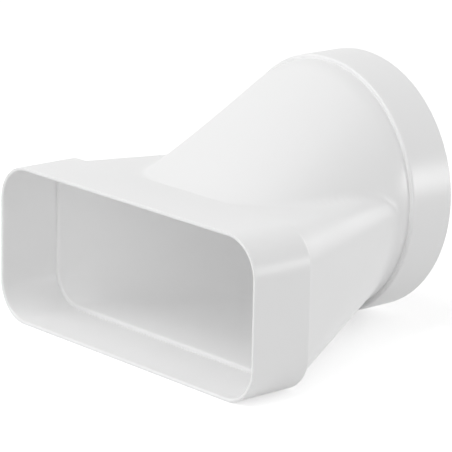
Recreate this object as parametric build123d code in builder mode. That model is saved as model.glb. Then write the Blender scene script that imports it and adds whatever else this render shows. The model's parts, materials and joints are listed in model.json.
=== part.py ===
"""Adapter from a flat ventilation duct to a round pipe, moulded in one piece of white plastic.

The flat duct slides into the wide socket at the front and the pipe into the collar at the back.
Between them one shell tapers from a rounded rectangle to a circle. Its top stays flat, and a hood
rises out of it to reach the pipe, whose axis lies higher than the duct's. Millimetres: the flat
mouth faces -Y, the round mouth +Y, X = 0 is the plane of symmetry, and the flat socket's underside
lies on Z = 0.
"""
from build123d import *

import os

import numpy as np

# Flat duct: outside size, corner radius, gap on each side and depth to the stop
duct_width = 220.0
duct_height = 90.0
duct_corner = 20.5
duct_gap = 0.5
duct_depth = 40.0

# Round pipe: outside diameter, gap all round and depth to the stop
pipe_diameter = 150.0
pipe_gap = 1.0
pipe_depth = 29.5

# Shell: wall, height of the ledges that stop duct and pipe, lengths along Y
wall = 2.0
stop_height = 2.5
transition_length = 105.0
neck_length = 5.0

# Hood: the ellipse it starts from, how far that lies under the flat top, the hollow at its foot,
# and the radius to which the body's upper corners shrink at the neck
hood_half_width = 60.0
hood_half_height = 17.0
hood_drop = 1.0
crease_radius = 10.0
shoulder_radius = 11.0

# Rounded edges
socket_edge = 0.8 * stop_height
collar_edge = 0.6 * stop_height
lead_in = 0.5 * wall
rim_edge = 0.2 * wall

# How finely the transition's sections are drawn
section_count = 40
ring_points = 160
ray_count = 1440

# Half sizes of the sockets, and of the transition where it leaves the flat socket
flat_bore = np.array([duct_width, duct_height]) / 2 + duct_gap
flat_bore_corner = duct_corner + duct_gap
flat_size = flat_bore + wall
step_in = stop_height - wall
body_width, body_height = flat_bore - step_in
body_corner = flat_bore_corner - step_in
round_bore = pipe_diameter / 2 + pipe_gap
collar_radius = round_bore + wall
neck_radius = round_bore - step_in

# Places along Y, counted from the flat mouth, and heights of the two axes
body_start = duct_depth + wall
collar_start = body_start + transition_length + neck_length
pipe_stop = collar_start + wall
length = pipe_stop + pipe_depth
flat_axis = flat_size[1]
pipe_rise = collar_radius - body_height


def station(depth, rise=0.0):
    """Plane across the part at a depth behind the flat mouth, seen from the front to the back."""
    origin = (0, depth - length / 2, flat_axis + rise)
    return Plane(origin=origin, x_dir=(-1, 0, 0), z_dir=(0, 1, 0))


def mix(start, end, share):
    """The value that lies a share of the way from start to end."""
    return start + (end - start) * share


def spread(points, count):
    """Points at equal steps along a closed line of points."""
    ring = np.vstack([points, points[:1]])
    along = np.append(0, np.cumsum(np.hypot(*np.diff(ring, axis=0).T)))
    places = np.arange(count) / count * along[-1]
    return np.column_stack([np.interp(places, along, values) for values in ring.T])


def body_outline(half_width, low, high, low_radius, high_radius):
    """Rounded rectangle, drawn by its four corner arcs from the lower right one round."""
    turn = np.linspace(0, np.pi / 2, ray_count // 4)
    inner_low = half_width - low_radius
    inner_high = half_width - high_radius
    corners = (
        (inner_low, low + low_radius, low_radius, -np.pi / 2),
        (inner_high, high - high_radius, high_radius, 0),
        (-inner_high, high - high_radius, high_radius, np.pi / 2),
        (-inner_low, low + low_radius, low_radius, np.pi),
    )
    arcs = [
        np.column_stack([x + radius * np.cos(begin + turn), y + radius * np.sin(begin + turn)])
        for x, y, radius, begin in corners
    ]
    return spread(np.vstack(arcs), ray_count)


def roll_around(points, radius, middle):
    """Outline left when a ball rolls around the points: hollow corners get the ball's radius.

    Along each ray from the middle, the ball's centre stands at the furthest place where it still
    touches a point, and the outline at the nearest place that any such ball reaches.
    """
    angle = np.linspace(-np.pi / 2, 3 * np.pi / 2, ray_count, endpoint=False)
    ray = np.column_stack([np.cos(angle), np.sin(angle)])
    across = np.column_stack([-np.sin(angle), np.cos(angle)])
    points = points - middle
    room = radius**2 - (points @ across.T) ** 2
    reach = np.where(room >= 0, points @ ray.T + np.sqrt(np.abs(room)), 0).max(axis=0)
    balls = ray * reach[:, None]
    room = radius**2 - (balls @ across.T) ** 2
    ahead = balls @ ray.T
    touch = np.where((room >= 0) & (ahead > 0), ahead - np.sqrt(np.abs(room)), np.inf).min(axis=0)
    return middle + ray * touch[:, None]


def outline(share, inset):
    """Section of the transition, a share of the way from the flat end to the neck."""
    low = mix(-body_height, pipe_rise - neck_radius, share) + inset
    high = mix(body_height, pipe_rise + shoulder_radius, share) - inset
    half_width = mix(body_width, neck_radius, share) - inset
    low_radius = mix(body_corner, neck_radius, share) - inset
    high_radius = mix(body_corner, shoulder_radius, share) - inset
    body = body_outline(half_width, low, high, low_radius, high_radius)

    hood_middle = mix(body_height - hood_drop - hood_half_height, pipe_rise, share)
    hood_width = mix(hood_half_width, neck_radius, share) - inset
    hood_height = mix(hood_half_height, neck_radius, share) - inset
    turn = np.linspace(0, 2 * np.pi, ray_count, endpoint=False)
    hood = np.column_stack([hood_width * np.cos(turn), hood_middle + hood_height * np.sin(turn)])

    both = np.vstack([body, hood])
    return spread(roll_around(both, crease_radius + inset, np.array([0, hood_middle])), ring_points)


def skin(inset):
    """Solid inside the transition's surface, with the neck, set in from the outside by a distance."""
    shares = (1 - np.cos(np.linspace(0, np.pi, section_count))) / 2
    knots = list(np.linspace(0, 1, ring_points + 1))
    with BuildPart() as body:
        for share in shares:
            with BuildSketch(station(body_start + share * transition_length)):
                with BuildLine():
                    points = [tuple(point) for point in outline(share, inset)]
                    add(Edge.make_spline(points, periodic=True, parameters=knots))
                make_face()
        loft()
        extrude(body.faces().sort_by(Axis.Y)[-1], amount=neck_length + wall)
        extrude(body.faces().sort_by(Axis.Y)[0], amount=wall)
    return body.part


outside = skin(0)
inside = skin(wall)

with BuildPart() as transition_body:
    # Flat socket, with its back edge rounded
    with BuildSketch(station(0)):
        RectangleRounded(*(2 * flat_size), flat_bore_corner + wall)
    extrude(amount=body_start)
    fillet(transition_body.faces().sort_by(Axis.Y)[-1].edges(), socket_edge)

    # Collar, with its front edge rounded
    with BuildSketch(station(collar_start, pipe_rise)):
        Circle(collar_radius)
    extrude(amount=length - collar_start)
    fillet(transition_body.faces().filter_by(Plane.XZ).sort_by(Axis.Y)[-2].edges(), collar_edge)

    # Tapering shell and its hollow
    add(outside)
    add(inside, mode=Mode.SUBTRACT)

    # Bores down to the stops
    with BuildSketch(station(0)):
        RectangleRounded(*(2 * flat_bore), flat_bore_corner)
    extrude(amount=duct_depth, mode=Mode.SUBTRACT)
    with BuildSketch(station(pipe_stop, pipe_rise)):
        Circle(round_bore)
    extrude(amount=pipe_depth, mode=Mode.SUBTRACT)

    # Rims: a lead-in for the duct and the pipe, and a broken outer edge
    for end in (0, -1):
        fillet(transition_body.faces().sort_by(Axis.Y)[end].inner_wires()[0].edges(), lead_in)
        fillet(transition_body.faces().sort_by(Axis.Y)[end].outer_wire().edges(), rim_edge)

transition_body.part.label = "transition_body"
os.makedirs("parts", exist_ok=True)
export_step(transition_body.part, "parts/transition_body.step")
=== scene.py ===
# %% [markdown]
# # A duct adapter in white plastic
# This part joins a flat ventilation duct to a round pipe. It is one moulding: a flat socket at the
# front, a shell that tapers from a rounded rectangle to a circle, a hood that rises out of the shell's
# flat top, a short neck and a round collar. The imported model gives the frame, and one new surface in
# that frame replaces its facets, so that the soft shapes catch the light smoothly.

# %% Load the frame
import json
import math

import bpy
import numpy as np
from mathutils import Matrix, Vector


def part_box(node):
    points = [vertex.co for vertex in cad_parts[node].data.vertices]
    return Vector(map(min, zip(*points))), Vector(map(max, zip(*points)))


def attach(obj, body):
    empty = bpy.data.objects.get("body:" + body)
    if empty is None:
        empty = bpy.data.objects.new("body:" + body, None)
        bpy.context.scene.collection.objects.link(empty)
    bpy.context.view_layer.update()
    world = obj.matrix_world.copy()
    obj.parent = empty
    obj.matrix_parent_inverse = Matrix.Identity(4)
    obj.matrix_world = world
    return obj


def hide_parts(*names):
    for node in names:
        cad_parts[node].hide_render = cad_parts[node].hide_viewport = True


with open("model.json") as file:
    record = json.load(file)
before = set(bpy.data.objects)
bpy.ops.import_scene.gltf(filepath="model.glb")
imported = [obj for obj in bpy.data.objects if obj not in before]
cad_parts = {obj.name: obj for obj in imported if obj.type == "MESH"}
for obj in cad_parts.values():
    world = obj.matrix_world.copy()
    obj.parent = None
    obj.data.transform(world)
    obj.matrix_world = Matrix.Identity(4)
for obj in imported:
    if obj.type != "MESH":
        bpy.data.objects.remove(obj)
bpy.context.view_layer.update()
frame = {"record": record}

# %% [markdown]
# ## Sizes
# The overall size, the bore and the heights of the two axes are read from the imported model, so the
# new surface can't drift away from it. The rest are the moulding's own sizes: its wall, the ledges
# that stop the duct and the pipe, and the edges that round them off. The part's own sizes are all in
# millimetres until its mesh is made; the studio around it is in metres.

# %% Read and name the sizes
MM = 0.001
mounts = {mount["name"]: mount for mount in frame["record"]["mounts"]}
node_low, node_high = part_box("transition_body")
front = node_low.y / MM
length = (node_high.y - node_low.y) / MM
pipe_bore = mounts["round_socket"]["dims"]["r_mm"]
pipe_axis = mounts["round_socket"]["pos_m"][2] / MM
flat_axis = mounts["flat_socket"]["pos_m"][2] / MM

wall = 2.0
stop_height = 2.5
duct_depth = 40.0
pipe_depth = 29.5
neck_length = 5.0
lead_in = 0.5 * wall
rim_edge = 0.2 * wall
socket_edge = 0.8 * stop_height
collar_edge = 0.6 * stop_height

socket_half_width = node_high.x / MM
socket_half_height = flat_axis
socket_corner = 23.0
collar_radius = pipe_bore + wall
neck_radius = collar_radius - stop_height
body_start = duct_depth + wall
collar_start = length - pipe_depth - wall
neck_start = collar_start - neck_length
pipe_stop = length - pipe_depth
pipe_rise = pipe_axis - flat_axis
print(f"length {length:.1f}, neck starts {neck_start:.1f}, pipe axis {pipe_rise:.1f} above the flat one")

# %% [markdown]
# ## Rings
# Every cross-section of the part is a closed ring, so the whole moulding can be a stack of rings with
# the same number of points: down the outside, round the collar's rim, back along the inside and round
# the flat mouth's rim to the start. Points at equal steps along each ring keep the faces even, also
# where a rounded rectangle turns into a circle.

# %% Rings of the two sockets
RING = 360


def spread(points, count):
    """Points at equal steps along a closed line: its running length, read back at even places."""
    ring = np.vstack([points, points[:1]])
    along = np.append(0, np.cumsum(np.hypot(*np.diff(ring, axis=0).T)))
    places = np.arange(count) / count * along[-1]
    return np.column_stack([np.interp(places, along, values) for values in ring.T])


def rounded_outline(half_width, low, high, low_radius, high_radius, count):
    """Rounded rectangle: centre + radius (cos t, sin t) on each corner arc, joined by straight lines.

    It starts in the middle of its underside and runs towards +X.
    """
    turn = np.linspace(0, np.pi / 2, count // 4)
    low_x, high_x = half_width - low_radius, half_width - high_radius
    low_y, high_y = low + low_radius, high - high_radius
    corners = (
        (low_x, low_y, low_radius, -np.pi / 2),
        (high_x, high_y, high_radius, 0),
        (-high_x, high_y, high_radius, np.pi / 2),
        (-low_x, low_y, low_radius, np.pi),
    )
    arcs = [
        np.column_stack([x + radius * np.cos(begin + turn), y + radius * np.sin(begin + turn)])
        for x, y, radius, begin in corners
    ]
    return spread(np.vstack([[(0, low)], *arcs]), count)


def lift(section, depth):
    """Section points (x, height above the flat axis) as points of the part, a depth behind the mouth."""
    across, height = section.T
    return np.column_stack([across, np.full(len(section), front + depth), height + flat_axis])


def flat_ring(grow, depth):
    """The flat socket's outer outline, moved outwards by grow."""
    half_width, half_height = socket_half_width + grow, socket_half_height + grow
    corner = socket_corner + grow
    section = rounded_outline(half_width, -half_height, half_height, corner, corner, RING)
    return lift(section, depth)


def round_ring(radius, depth):
    """Circle about the pipe's axis: radius (cos t, sin t), from its lowest point towards +X."""
    turn = np.linspace(-np.pi / 2, 3 * np.pi / 2, RING, endpoint=False)
    section = np.column_stack([radius * np.cos(turn), pipe_rise + radius * np.sin(turn)])
    return lift(section, depth)


print("a flat ring and a round ring:", flat_ring(0, 0).shape, round_ring(collar_radius, 0).shape)

# %% [markdown]
# ## The hood and its crease
# Between the sockets two simple forms grow together. One is the tapering body, a rounded rectangle
# whose sizes change evenly along the way, and whose end hides just inside the neck. The other is the
# hood, an ellipse that starts just under the flat top and swells evenly into the neck's circle. Both
# bend softly into the neck at the end. Seen from the flat duct's axis, each form is a distance that
# depends on the depth and on the direction, so joining them is taking the larger distance. Where they
# meet, the moulding has a soft hollow. A ball rolled over the joined surface gives it: the ball can't
# reach into the corner, so the surface that it leaves has the ball's radius there and is unchanged
# elsewhere. A Boolean and a Bevel could make a crease too, but a bevel needs a clear edge, and this one
# fades out towards the neck.

# %% Distances of the body and the hood
RAYS = 720
TURN = np.linspace(-np.pi / 2, 3 * np.pi / 2, RAYS, endpoint=False)
STEP = 1.0

# The hood's first ellipse, and how far it starts under the flat top
hood_half_width = 62.0
hood_half_height = 15.5
hood_drop = 0.6

# The body's end: its top above the pipe's axis, the radii of its upper and lower corners, and how far
# it is tucked into the neck; the bend into the neck reaches this far to either side of the neck's start
shoulder_height = 11.0
shoulder_radius = 14.0
tuck = 1.5
tucked_radius = neck_radius - tuck
under_radius = 0.955 * tucked_radius
neck_bend = 7.0


def mix(start, end, share):
    """The value that lies a share of the way from start to end."""
    return start + (end - start) * share


def body_distance(share, inset):
    """Distance along each ray to the tapering body's outline, read off the points of that outline."""
    half_width = socket_half_width - stop_height
    half_height = socket_half_height - stop_height
    corner = socket_corner - stop_height
    outline = rounded_outline(
        mix(half_width, tucked_radius, share) - inset,
        mix(-half_height, pipe_rise - tucked_radius, share) + inset,
        mix(half_height, pipe_rise + shoulder_height, share) - inset,
        mix(corner, under_radius, share) - inset,
        mix(corner, shoulder_radius, share) - inset,
        2 * RAYS,
    )
    bearing = np.arctan2(outline[:, 1], outline[:, 0])
    return np.interp(TURN, bearing, np.hypot(*outline.T), period=2 * np.pi)


def hood_distance(share, inset):
    """Distance along each ray to the hood's far side, or zero where the ray misses it.

    A ray r (cos t, sin t) meets the ellipse of half sizes a, b about (0, c) where
    r^2 (cos^2 t / a^2 + sin^2 t / b^2) - 2 r c sin t / b^2 + c^2 / b^2 - 1 = 0.
    """
    first_middle = socket_half_height - stop_height - hood_drop - hood_half_height
    middle = mix(first_middle, pipe_rise, share)
    across = mix(hood_half_width, neck_radius, share) - inset
    tall = mix(hood_half_height, neck_radius, share) - inset
    square = (np.cos(TURN) / across) ** 2 + (np.sin(TURN) / tall) ** 2
    slope = middle * np.sin(TURN) / tall**2
    rest = (middle / tall) ** 2 - 1
    room = slope**2 - square * rest
    return np.where(room > 0, (slope + np.sqrt(np.abs(room))) / square, 0)


def bent(share, bend):
    """A share that bends softly into 1: share - (share - 1 + b)^2 / 4b between 1 - b and 1 + b."""
    into = np.clip(share - 1 + bend, 0, 2 * bend)
    return np.minimum(share, 1 + bend) - into**2 / (4 * bend)


depths = np.arange(body_start, pipe_stop + STEP / 2, STEP)
taper_length = neck_start - body_start
shares = bent((depths - body_start) / taper_length, neck_bend / taper_length)
print("stations", len(depths), "rays", RAYS)

# %% Roll the ball over both
crease_radius = 7.5


def sweep(surface, radius, outwards):
    """Where a ball's centre comes to rest on the surface, or the surface that such centres leave.

    Both surfaces are distances over (depth, direction). A point at distance p, a turn t and a depth d
    away lets the ball's centre reach p cos t + sqrt(r^2 - d^2 - (p sin t)^2) along a ray; the largest
    counts. Inwards the root is taken off, and the smallest counts.
    """
    rows = int(radius / STEP)
    turns = int(math.degrees(math.asin(radius / surface.min())) / 360 * RAYS) + 1
    padded = np.pad(surface, ((rows, rows), (0, 0)), mode="edge")
    result = np.zeros_like(surface) if outwards else np.full_like(surface, np.inf)
    for row in range(-rows, rows + 1):
        level = padded[rows + row : rows + row + len(surface)]
        for turn in range(-turns, turns + 1):
            angle = 2 * np.pi * turn / RAYS
            near = np.roll(level, turn, axis=1)
            room = radius**2 - (row * STEP) ** 2 - (near * math.sin(angle)) ** 2
            root = np.sqrt(np.maximum(room, 0))
            along = near * math.cos(angle)
            if outwards:
                np.maximum(result, np.where(room > 0, along + root, 0), out=result)
            else:
                np.minimum(result, np.where(room > 0, along - root, np.inf), out=result)
    return result


def transition_rings(inset):
    """Rings of the transition and the neck, one at each depth, set in by a distance for the inside."""
    joined = np.array(
        [np.maximum(body_distance(share, inset), hood_distance(share, inset)) for share in shares]
    )
    radius = crease_radius + inset
    rolled = sweep(sweep(joined, radius, True), radius, False)
    return [
        lift(spread(np.column_stack([reach * np.cos(TURN), reach * np.sin(TURN)]), RING), depth)
        for reach, depth in zip(rolled, depths)
    ]


outer_rings = transition_rings(0)
inner_rings = transition_rings(wall)
print("transition rings:", len(outer_rings), "outside and", len(inner_rings), "inside")

# %% [markdown]
# ## One closed surface
# A Solidify modifier could thicken a single skin, but the rims, the lead-ins and the stops differ inside
# and out, so the profile is walked once around the wall. Straight runs have rings close together near
# their ends, because smooth shading bends the light between the last two rings, and that should stay at
# the edge. The rings are then woven into quads that wrap round in both directions, like a tyre, so the
# wall has no open border and no seam.

# %% Walk round the wall


def run(start, end, count):
    """Places from start to end that crowd towards both: (1 - cos t) / 2 of the way."""
    return mix(start, end, (1 - np.cos(np.linspace(0, np.pi, count))) / 2)


def quarter(count):
    """Sine and cosine of a quarter turn, for a rounded edge."""
    turn = np.linspace(0, np.pi / 2, count)
    return list(zip(np.sin(turn), np.cos(turn)))


EDGE = 7
STRAIGHT = 12
flat_bore = -wall
flat_stop = -wall - stop_height

# Outside: the mouth's rounded rim, the socket, its rounded back edge, the transition and the neck
rings = [flat_ring(rim_edge * (s - 1), rim_edge * (1 - c)) for s, c in quarter(EDGE)]
rings += [flat_ring(0, depth) for depth in run(rim_edge, body_start - socket_edge, STRAIGHT)[1:-1]]
rings += [
    flat_ring(socket_edge * (c - 1), body_start + socket_edge * (s - 1)) for s, c in quarter(EDGE)
]
rings += [ring for ring, depth in zip(outer_rings, depths) if depth < collar_start + STEP / 2]

# Collar: its rounded front edge, its outside, its rounded rim, the lead-in, and the bore to the stop
rings += [
    round_ring(collar_radius + collar_edge * (s - 1), collar_start + collar_edge * (1 - c))
    for s, c in quarter(EDGE)
]
rings += [
    round_ring(collar_radius, depth)
    for depth in run(collar_start + collar_edge, length - rim_edge, STRAIGHT)[1:-1]
]
rings += [
    round_ring(collar_radius + rim_edge * (c - 1), length + rim_edge * (s - 1))
    for s, c in quarter(EDGE)
]
rings += [
    round_ring(pipe_bore + lead_in * (1 - s), length + lead_in * (c - 1)) for s, c in quarter(EDGE)
]
rings += [round_ring(pipe_bore, depth) for depth in run(length - lead_in, pipe_stop, STRAIGHT)[1:]]

# Inside: every second ring of the transition, the rounded stop, the flat bore and its lead-in
rings += inner_rings[::-2]
rings += [
    flat_ring(flat_stop + wall * (1 - c), body_start - wall * s) for s, c in quarter(EDGE)[1:]
]
rings += [flat_ring(flat_bore, depth) for depth in run(duct_depth, lead_in, STRAIGHT)[:-1]]
rings += [flat_ring(flat_bore + lead_in * (1 - c), lead_in * (1 - s)) for s, c in quarter(EDGE)]
print("rings around the wall:", len(rings))

# %% Weave the rings into the moulding
SHARP = math.radians(40)


def weave(name, rows):
    """Mesh of quads between each ring and the next; the last ring joins the first."""
    grid = np.stack(rows) * MM
    index = np.arange(grid.shape[0] * grid.shape[1]).reshape(grid.shape[:2])
    ahead = np.roll(index, -1, axis=0)
    quads = np.stack([index, ahead, np.roll(ahead, -1, axis=1), np.roll(index, -1, axis=1)], axis=-1)
    mesh = bpy.data.meshes.new(name)
    mesh.from_pydata(grid.reshape(-1, 3), [], quads.reshape(-1, 4).tolist())
    mesh.polygons.foreach_set("use_smooth", np.ones(index.size, bool))
    mesh.set_sharp_from_angle(angle=SHARP)
    piece = bpy.data.objects.new(name, mesh)
    bpy.context.scene.collection.objects.link(piece)
    return piece


moulding = weave("moulding", rings)
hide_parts("transition_body")
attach(moulding, "root")
print("moulding:", len(moulding.data.polygons), "quads")

# %% [markdown]
# ## White moulded plastic
# The real part looks like white polystyrene or ABS from a smooth, lightly blasted mould. That gives the
# eye a clean white with a soft sheen: highlights have soft borders, and close up the skin has a very
# fine grain, and slow waves where the plastic shrank as it cooled. The grain and the waves are noise
# patterns whose sizes and heights are set in millimetres.

# %% Make the plastic


def linear(hex_colour):
    """sRGB hex colour as linear light: ((v + 0.055) / 1.055)^2.4 above the short straight part."""
    values = np.array([int(hex_colour[place : place + 2], 16) for place in (1, 3, 5)]) / 255
    light = np.where(values > 0.04045, ((values + 0.055) / 1.055) ** 2.4, values / 12.92)
    return (*light, 1.0)


def add_node(tree, kind, inputs=None, **settings):
    """Adds a node; inputs holds its sockets' values, or the sockets of other nodes to link to them."""
    node = tree.nodes.new(kind)
    for name, value in settings.items():
        setattr(node, name, value)
    for name, value in (inputs or {}).items():
        if isinstance(value, bpy.types.NodeSocket):
            tree.links.new(value, node.inputs[name])
        else:
            node.inputs[name].default_value = value
    return node


def new_material(name):
    """Empty node material, with its node tree and its output node."""
    material = bpy.data.materials.new(name)
    material.use_nodes = True
    material.node_tree.nodes.clear()
    return material, material.node_tree, add_node(material.node_tree, "ShaderNodeOutputMaterial")


# Each pattern's size and height in millimetres, and how strongly it shows. The real grain is about a
# tenth of a millimetre wide, too fine to show in the render, so it is drawn as coarse as this
GRAIN, GRAIN_HEIGHT, GRAIN_SHOWS = 0.8, 0.02, 0.15
WAVES, WAVE_HEIGHT, WAVES_SHOW = 45.0, 0.5, 0.3
# The range of the waves' noise that is used, and the roughness at its two ends
NOISE_LOW, NOISE_HIGH = 0.3, 0.7
SMOOTHEST, ROUGHEST = 0.3, 0.36

plastic, tree, output = new_material("white_moulded_polystyrene")
place = add_node(tree, "ShaderNodeTexCoord").outputs["Object"]
grain = add_node(
    tree, "ShaderNodeTexNoise", {"Vector": place, "Scale": 1 / (GRAIN * MM), "Detail": 2.0}
)
waves = add_node(
    tree, "ShaderNodeTexNoise", {"Vector": place, "Scale": 1 / (WAVES * MM), "Detail": 1.0}
)
skin = add_node(
    tree,
    "ShaderNodeBump",
    {"Height": grain.outputs["Fac"], "Strength": GRAIN_SHOWS, "Distance": GRAIN_HEIGHT * MM},
)
shrink = add_node(
    tree,
    "ShaderNodeBump",
    {
        "Height": waves.outputs["Fac"],
        "Strength": WAVES_SHOW,
        "Distance": WAVE_HEIGHT * MM,
        "Normal": skin.outputs["Normal"],
    },
)
sheen = add_node(
    tree,
    "ShaderNodeMapRange",
    {
        "Value": waves.outputs["Fac"],
        "From Min": NOISE_LOW,
        "From Max": NOISE_HIGH,
        "To Min": SMOOTHEST,
        "To Max": ROUGHEST,
    },
)
surface = add_node(
    tree,
    "ShaderNodeBsdfPrincipled",
    {
        "Base Color": linear("#F3F3F3"),
        "Roughness": sheen.outputs["Result"],
        "IOR": 1.54,
        "Normal": shrink.outputs["Normal"],
    },
)
tree.links.new(surface.outputs["BSDF"], output.inputs["Surface"])
moulding.data.materials.append(plastic)
print("plastic nodes:", len(tree.nodes))

# %% [markdown]
# ## Studio
# The photograph is a cut-out on white. A pale floor under the part catches its soft shadow and
# throws light back up into the undersides; where it is seen or mirrored it also glows enough to reach
# white away from the shadow. An even sky and large soft lamps light the plastic at a plain level.

# %% Floor and sky
# The floor's width in metres, and the strengths of its glow and of the sky
FLOOR = 6.0
FLOOR_GLOW = 0.55
SKY = 0.42


def backdrop_seen(tree):
    """Socket that is 1 for rays that see the backdrop: from the camera, mirrored or through glass."""
    path = add_node(tree, "ShaderNodeLightPath")
    mirrored = add_node(
        tree,
        "ShaderNodeMath",
        {0: path.outputs["Is Glossy Ray"], 1: path.outputs["Is Transmission Ray"]},
        operation="MAXIMUM",
    )
    seen = add_node(
        tree,
        "ShaderNodeMath",
        {0: path.outputs["Is Camera Ray"], 1: mirrored.outputs["Value"]},
        operation="MAXIMUM",
    )
    return seen.outputs["Value"]


floor_mesh = bpy.data.meshes.new("floor")
half = FLOOR / 2
corners = [(-half, -half, 0), (half, -half, 0), (half, half, 0), (-half, half, 0)]
floor_mesh.from_pydata(corners, [], [(0, 1, 2, 3)])
floor = bpy.data.objects.new("floor", floor_mesh)
bpy.context.scene.collection.objects.link(floor)

paper, tree, output = new_material("white_paper")
matt = add_node(tree, "ShaderNodeBsdfDiffuse", {"Color": linear("#E6E6E6")})
glow = add_node(tree, "ShaderNodeEmission", {"Color": linear("#FFFFFF"), "Strength": FLOOR_GLOW})
none = add_node(tree, "ShaderNodeEmission", {"Strength": 0.0})
seen = add_node(
    tree,
    "ShaderNodeMixShader",
    {"Fac": backdrop_seen(tree), 1: none.outputs[0], 2: glow.outputs[0]},
)
both = add_node(tree, "ShaderNodeAddShader", {0: matt.outputs[0], 1: seen.outputs[0]})
tree.links.new(both.outputs[0], output.inputs["Surface"])
floor_mesh.materials.append(paper)

world = bpy.data.worlds.new("studio")
world.use_nodes = True
bpy.context.scene.world = world
tree = world.node_tree
tree.nodes.clear()
sky = add_node(tree, "ShaderNodeBackground", {"Color": linear("#FFFFFF"), "Strength": SKY})
white = add_node(tree, "ShaderNodeBackground", {"Color": linear("#FFFFFF"), "Strength": 1.0})
shown = add_node(
    tree,
    "ShaderNodeMixShader",
    {"Fac": backdrop_seen(tree), 1: sky.outputs[0], 2: white.outputs[0]},
)
add_node(tree, "ShaderNodeOutputWorld", {"Surface": shown.outputs[0]})
print("floor", FLOOR, "m wide")

# %% [markdown]
# ## Lamps
# The sky gives an even base. Three large soft lamps in front, above and to the left brighten the tops
# and the hood, and a weak one fills the right side. One low behind the part shines in through the round
# mouth, and a small strip at the right back draws the glow along the collar and on the socket's corner.

# %% Place the lamps
# Direction round the part and above the floor in degrees, distance and size in metres, power in watts
LAMPS = {
    "front": (0, 40, 1.8, (1.0, 1.0), 4.6),
    "over": (0, 65, 1.8, (1.0, 1.0), 7.2),
    "left": (-45, 40, 1.8, (1.0, 1.0), 5.8),
    "behind": (180, 12, 1.8, (1.0, 1.0), 7.2),
    "fill": (45, 12, 1.8, (1.0, 1.0), 2.5),
    "strip": (132, 6, 1.5, (0.3, 0.36), 2.9),
}


def direction(azimuth, elevation):
    """Unit vector (sin a cos e, -cos a cos e, sin e): azimuth 0 is in front of the flat mouth."""
    around, above = math.radians(azimuth), math.radians(elevation)
    return Vector(
        (math.sin(around) * math.cos(above), -math.cos(around) * math.cos(above), math.sin(above))
    )


def softbox(name, azimuth, elevation, distance, size, power):
    """Rectangular area lamp that faces the part's middle from a direction."""
    lamp = bpy.data.lights.new(name, "AREA")
    lamp.shape = "RECTANGLE"
    lamp.size, lamp.size_y = size
    lamp.energy = power
    box = bpy.data.objects.new(name, lamp)
    away = direction(azimuth, elevation)
    box.location = Vector((0, 0, flat_axis * MM)) + distance * away
    box.rotation_euler = (-away).to_track_quat("-Z", "Y").to_euler()
    bpy.context.scene.collection.objects.link(box)


for name, values in LAMPS.items():
    softbox(name, *values)
print("lamps:", ", ".join(LAMPS))

# %% [markdown]
# ## Camera
# The photograph is taken with a long lens from the right, a little above the part. Its place was
# found by matching the outline, and is given in widths of the flat mouth from the mouth's middle:
# how far back along the view, and how far the view's centre is shifted across and up.

# %% Place the camera
# The photograph's width and the focal length are in pixels, the two angles of the view in degrees
IMAGE, FOCAL = 452, 2836.13
AZIMUTH, ELEVATION = 48.4655, 15.0257
ROLL = math.radians(1.1963)
ACROSS, UPWARDS, BACKWARDS = 0.263, 0.1372, 7.0944

scene = bpy.context.scene
scene.view_settings.view_transform = "Standard"

back = direction(AZIMUTH, ELEVATION)
level = direction(AZIMUTH + 90, 0)
upright = back.cross(level)
right = level * math.cos(ROLL) + upright * math.sin(ROLL)
up = upright * math.cos(ROLL) - level * math.sin(ROLL)
mouth = Vector((0, front, flat_axis)) * MM
unit = 2 * socket_half_width * MM

lens = bpy.data.cameras.new("camera")
lens.sensor_width = 36.0
lens.lens = FOCAL / IMAGE * lens.sensor_width
camera = bpy.data.objects.new("camera", lens)
camera.location = mouth + unit * (back * BACKWARDS + right * ACROSS + up * UPWARDS)
camera.rotation_euler = Matrix((right, up, back)).transposed().to_euler()
scene.collection.objects.link(camera)
scene.camera = camera
print("camera at", tuple(camera.location))
